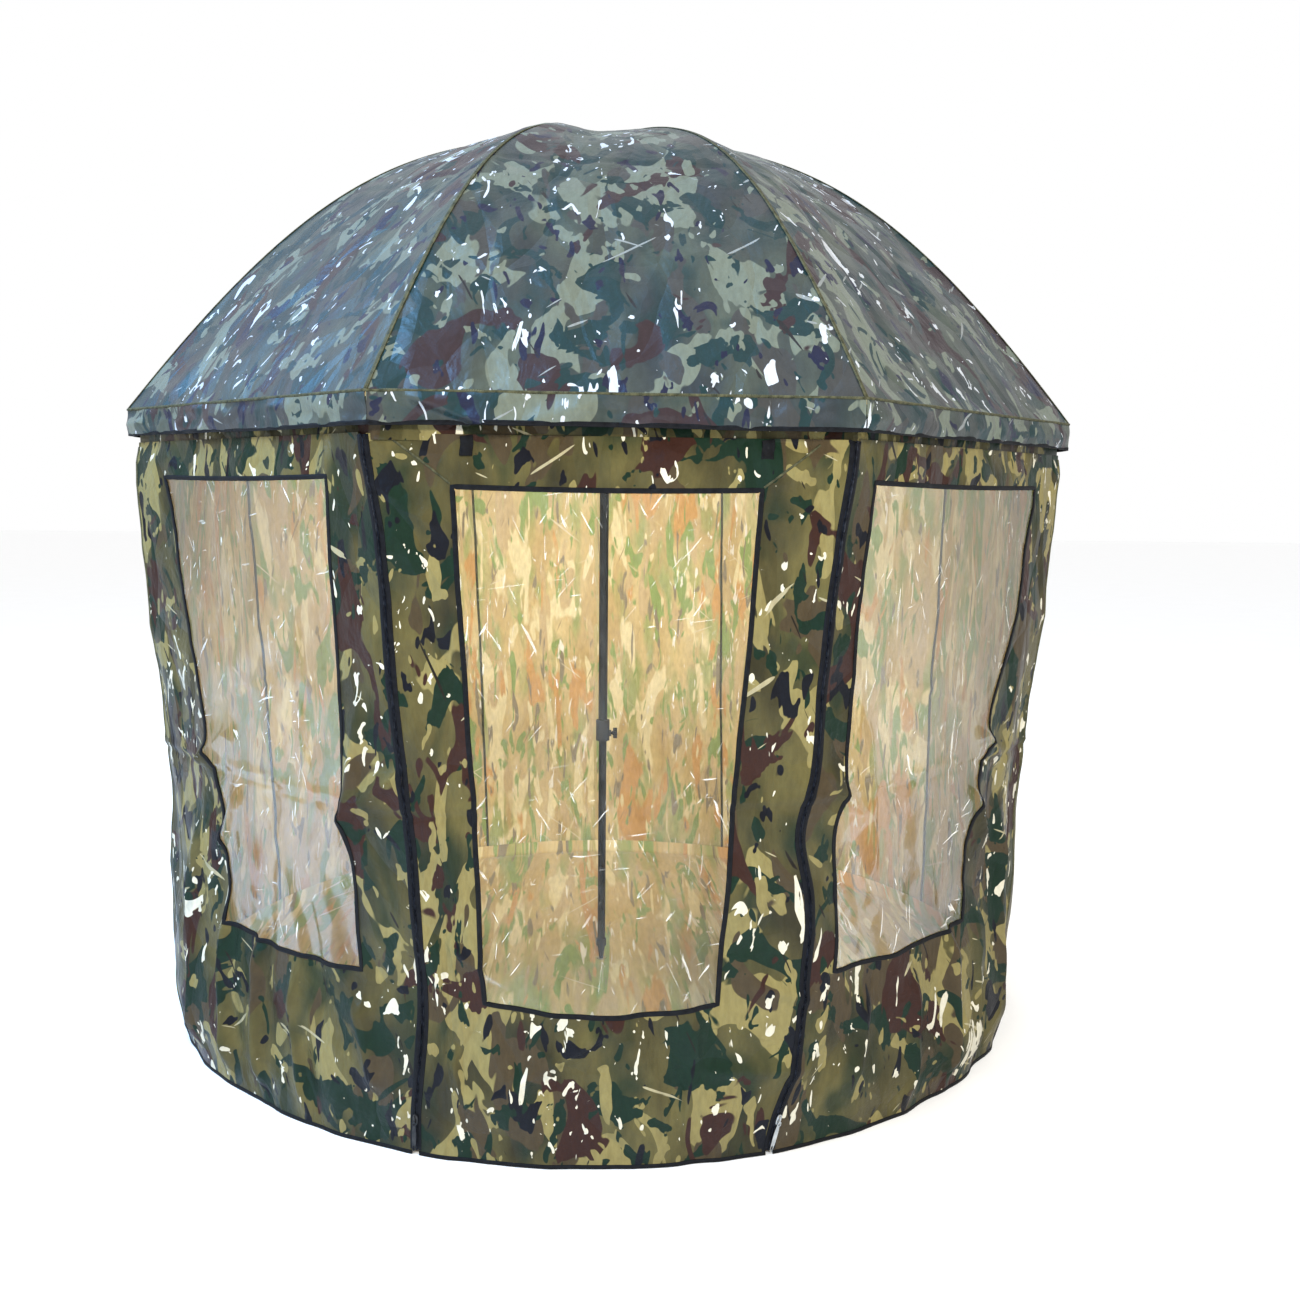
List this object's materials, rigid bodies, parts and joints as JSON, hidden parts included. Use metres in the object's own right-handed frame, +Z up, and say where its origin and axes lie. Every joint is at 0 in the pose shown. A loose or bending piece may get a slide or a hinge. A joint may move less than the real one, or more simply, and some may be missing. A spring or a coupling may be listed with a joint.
{
  "type": "umbrella shelter",
  "caption": "Dome umbrella on a centre pole with a full cloth side wall, a zipped front door and clear windows; folds, and raises on its telescopic pole.",
  "frame": {"origin": "on the ground under the pole, at the centre of the footprint", "axes": "+Z up along the pole, -Y out through the door, +X to the right of someone who faces the door from outside"},
  "size_m": [2.2338, 2.2339, 2.279],
  "materials": {
    "pole_tube": "black powder coat on steel tube",
    "black_plastic": "moulded nylon, fine grain",
    "bright_steel": "zinc plated",
    "frame_steel": "black lacquer on steel rod",
    "canopy_cloth": "coated nylon with a printed woodland camouflage, slight gloss",
    "valance_cloth": "the same coated nylon, doubled and bound",
    "wall_cloth": "coated nylon with a printed woodland camouflage",
    "window_film": "clear flexible PVC film, wrinkled",
    "binding_tape": "black woven bias tape, stitched",
    "webbing": "black woven webbing",
    "zip_nylon": "black nylon coil on woven tape",
    "zip_metal": "black lacquered die casting"
  },
  "bodies": {
    "lower_pole": {"lower_pole": "pole_tube", "pole_foot": "black_plastic", "groundsheet": "wall_cloth"},
    "upper_pole": {"upper_pole": "pole_tube", "clamp_collar": "black_plastic", "crown_hub": "black_plastic", "hub_pins": "bright_steel", "crown_cap": "black_plastic", "wall_header": "wall_cloth", "wall_front_right": "wall_cloth", "wall_right": "wall_cloth", "wall_back_right": "wall_cloth", "wall_back": "wall_cloth", "wall_back_left": "wall_cloth", "wall_left": "wall_cloth", "wall_front_left": "wall_cloth", "side_windows": "window_film", "zip_chains": "zip_nylon", "hem_binding": "binding_tape"},
    "clamp_screw": {"clamp_screw": "black_plastic"},
    "runner": {"runner": "black_plastic"},
    "runner_catch": {"runner_catch": "bright_steel"},
    "front_door": {"door_panel": "wall_cloth", "door_window": "window_film", "door_hem": "binding_tape", "door_ties": "webbing"},
    "zip_slider_left": {"zip_slider_left": "zip_metal"},
    "zip_slider_right": {"zip_slider_right": "zip_metal"},
    "rib_1": {"rib_1": "frame_steel", "canopy_1": "canopy_cloth", "valance_1": "valance_cloth"},
    "stretcher_1": {"stretcher_1": "frame_steel"},
    "rib_2": {"rib_2": "frame_steel", "canopy_2": "canopy_cloth", "valance_2": "valance_cloth"},
    "stretcher_2": {"stretcher_2": "frame_steel"},
    "rib_3": {"rib_3": "frame_steel", "canopy_3": "canopy_cloth", "valance_3": "valance_cloth"},
    "stretcher_3": {"stretcher_3": "frame_steel"},
    "rib_4": {"rib_4": "frame_steel", "canopy_4": "canopy_cloth", "valance_4": "valance_cloth"},
    "stretcher_4": {"stretcher_4": "frame_steel"},
    "rib_5": {"rib_5": "frame_steel", "canopy_5": "canopy_cloth", "valance_5": "valance_cloth"},
    "stretcher_5": {"stretcher_5": "frame_steel"},
    "rib_6": {"rib_6": "frame_steel", "canopy_6": "canopy_cloth", "valance_6": "valance_cloth"},
    "stretcher_6": {"stretcher_6": "frame_steel"},
    "rib_7": {"rib_7": "frame_steel", "canopy_7": "canopy_cloth", "valance_7": "valance_cloth"},
    "stretcher_7": {"stretcher_7": "frame_steel"},
    "rib_8": {"rib_8": "frame_steel", "canopy_8": "canopy_cloth", "valance_8": "valance_cloth"},
    "stretcher_8": {"stretcher_8": "frame_steel"}
  },
  "joints": [
    {"name": "pole_raise", "type": "slide", "parent": "lower_pole", "child": "upper_pole", "axis": [0, 0, 1], "range_m": [0, 0.25]},
    {"name": "clamp_turn", "type": "hinge", "parent": "upper_pole", "child": "clamp_screw", "pos_m": [0.02, 0, 0.66], "axis": [1, 0, 0], "range_deg": [0, 360]},
    {"name": "canopy_fold", "type": "slide", "parent": "upper_pole", "child": "runner", "axis": [0, 0, 1], "range_m": [-0.60298, 0], "deforming": ["wall_front_right", "wall_right", "wall_back_right", "wall_back", "wall_back_left", "wall_left", "wall_front_left", "side_windows", "zip_chains", "door_panel", "door_window", "door_ties", "runner_catch"]},
    {"name": "catch_press", "type": "slide", "parent": "upper_pole", "child": "runner_catch", "axis": [0, 1, 0], "range_m": [0, 0.0035], "stiffness_N_per_m": 600},
    {"name": "door_lift", "type": "hinge", "parent": "upper_pole", "child": "front_door", "pos_m": [0, -1.08918, 1.43], "axis": [-1, 0, 0], "range_deg": [0, 80]},
    {"name": "zip_left_slide", "type": "slide", "parent": "upper_pole", "child": "zip_slider_left", "axis": [-0.0411, -0.0318, 0.9987], "range_m": [0, 1.28]},
    {"name": "zip_right_slide", "type": "slide", "parent": "upper_pole", "child": "zip_slider_right", "axis": [0.0923, -0.0144, 0.9956], "range_m": [0, 1.28]},
    {"name": "rib_1_hinge", "type": "hinge", "parent": "upper_pole", "child": "rib_1", "pos_m": [0.01033, -0.02494, 2.24], "axis": [0.9239, 0.3827, 0], "range_deg": [0, 52.1], "deforming": ["canopy_1", "valance_1"]},
    {"name": "stretcher_1_hinge", "type": "hinge", "parent": "rib_1", "child": "stretcher_1", "pos_m": [0.2143, -0.51737, 2.09627], "axis": [0.9239, 0.3827, 0], "range_deg": [-87.7, 0]},
    {"name": "rib_2_hinge", "type": "hinge", "parent": "upper_pole", "child": "rib_2", "pos_m": [0.02494, -0.01033, 2.24], "axis": [0.3827, 0.9239, 0], "range_deg": [0, 52.1], "deforming": ["canopy_2", "valance_2"]},
    {"name": "stretcher_2_hinge", "type": "hinge", "parent": "rib_2", "child": "stretcher_2", "pos_m": [0.51737, -0.2143, 2.09627], "axis": [0.3827, 0.9239, 0], "range_deg": [-87.7, 0]},
    {"name": "rib_3_hinge", "type": "hinge", "parent": "upper_pole", "child": "rib_3", "pos_m": [0.02494, 0.01033, 2.24], "axis": [-0.3827, 0.9239, 0], "range_deg": [0, 52.1], "deforming": ["canopy_3", "valance_3"]},
    {"name": "stretcher_3_hinge", "type": "hinge", "parent": "rib_3", "child": "stretcher_3", "pos_m": [0.51737, 0.2143, 2.09627], "axis": [-0.3827, 0.9239, 0], "range_deg": [-87.7, 0]},
    {"name": "rib_4_hinge", "type": "hinge", "parent": "upper_pole", "child": "rib_4", "pos_m": [0.01033, 0.02494, 2.24], "axis": [-0.9239, 0.3827, 0], "range_deg": [0, 52.1], "deforming": ["canopy_4", "valance_4"]},
    {"name": "stretcher_4_hinge", "type": "hinge", "parent": "rib_4", "child": "stretcher_4", "pos_m": [0.2143, 0.51737, 2.09627], "axis": [-0.9239, 0.3827, 0], "range_deg": [-87.7, 0]},
    {"name": "rib_5_hinge", "type": "hinge", "parent": "upper_pole", "child": "rib_5", "pos_m": [-0.01033, 0.02494, 2.24], "axis": [-0.9239, -0.3827, 0], "range_deg": [0, 52.1], "deforming": ["canopy_5", "valance_5"]},
    {"name": "stretcher_5_hinge", "type": "hinge", "parent": "rib_5", "child": "stretcher_5", "pos_m": [-0.2143, 0.51737, 2.09627], "axis": [-0.9239, -0.3827, 0], "range_deg": [-87.7, 0]},
    {"name": "rib_6_hinge", "type": "hinge", "parent": "upper_pole", "child": "rib_6", "pos_m": [-0.02494, 0.01033, 2.24], "axis": [-0.3827, -0.9239, 0], "range_deg": [0, 52.1], "deforming": ["canopy_6", "valance_6"]},
    {"name": "stretcher_6_hinge", "type": "hinge", "parent": "rib_6", "child": "stretcher_6", "pos_m": [-0.51737, 0.2143, 2.09627], "axis": [-0.3827, -0.9239, 0], "range_deg": [-87.7, 0]},
    {"name": "rib_7_hinge", "type": "hinge", "parent": "upper_pole", "child": "rib_7", "pos_m": [-0.02494, -0.01033, 2.24], "axis": [0.3827, -0.9239, 0], "range_deg": [0, 52.1], "deforming": ["canopy_7", "valance_7"]},
    {"name": "stretcher_7_hinge", "type": "hinge", "parent": "rib_7", "child": "stretcher_7", "pos_m": [-0.51737, -0.2143, 2.09627], "axis": [0.3827, -0.9239, 0], "range_deg": [-87.7, 0]},
    {"name": "rib_8_hinge", "type": "hinge", "parent": "upper_pole", "child": "rib_8", "pos_m": [-0.01033, -0.02494, 2.24], "axis": [0.9239, -0.3827, 0], "range_deg": [0, 52.1], "deforming": ["canopy_8", "valance_8"]},
    {"name": "stretcher_8_hinge", "type": "hinge", "parent": "rib_8", "child": "stretcher_8", "pos_m": [-0.2143, -0.51737, 2.09627], "axis": [0.9239, -0.3827, 0], "range_deg": [-87.7, 0]}
  ],
  "couplings": [
    {"joint": "rib_1_hinge", "follows": "canopy_fold", "rad_per_m": -1.5052},
    {"joint": "stretcher_1_hinge", "follows": "canopy_fold", "rad_per_m": 2.5357},
    {"joint": "rib_2_hinge", "follows": "canopy_fold", "rad_per_m": -1.5052},
    {"joint": "stretcher_2_hinge", "follows": "canopy_fold", "rad_per_m": 2.5357},
    {"joint": "rib_3_hinge", "follows": "canopy_fold", "rad_per_m": -1.5052},
    {"joint": "stretcher_3_hinge", "follows": "canopy_fold", "rad_per_m": 2.5357},
    {"joint": "rib_4_hinge", "follows": "canopy_fold", "rad_per_m": -1.5052},
    {"joint": "stretcher_4_hinge", "follows": "canopy_fold", "rad_per_m": 2.5357},
    {"joint": "rib_5_hinge", "follows": "canopy_fold", "rad_per_m": -1.5052},
    {"joint": "stretcher_5_hinge", "follows": "canopy_fold", "rad_per_m": 2.5357},
    {"joint": "rib_6_hinge", "follows": "canopy_fold", "rad_per_m": -1.5052},
    {"joint": "stretcher_6_hinge", "follows": "canopy_fold", "rad_per_m": 2.5357},
    {"joint": "rib_7_hinge", "follows": "canopy_fold", "rad_per_m": -1.5052},
    {"joint": "stretcher_7_hinge", "follows": "canopy_fold", "rad_per_m": 2.5357},
    {"joint": "rib_8_hinge", "follows": "canopy_fold", "rad_per_m": -1.5052},
    {"joint": "stretcher_8_hinge", "follows": "canopy_fold", "rad_per_m": 2.5357}
  ]
}
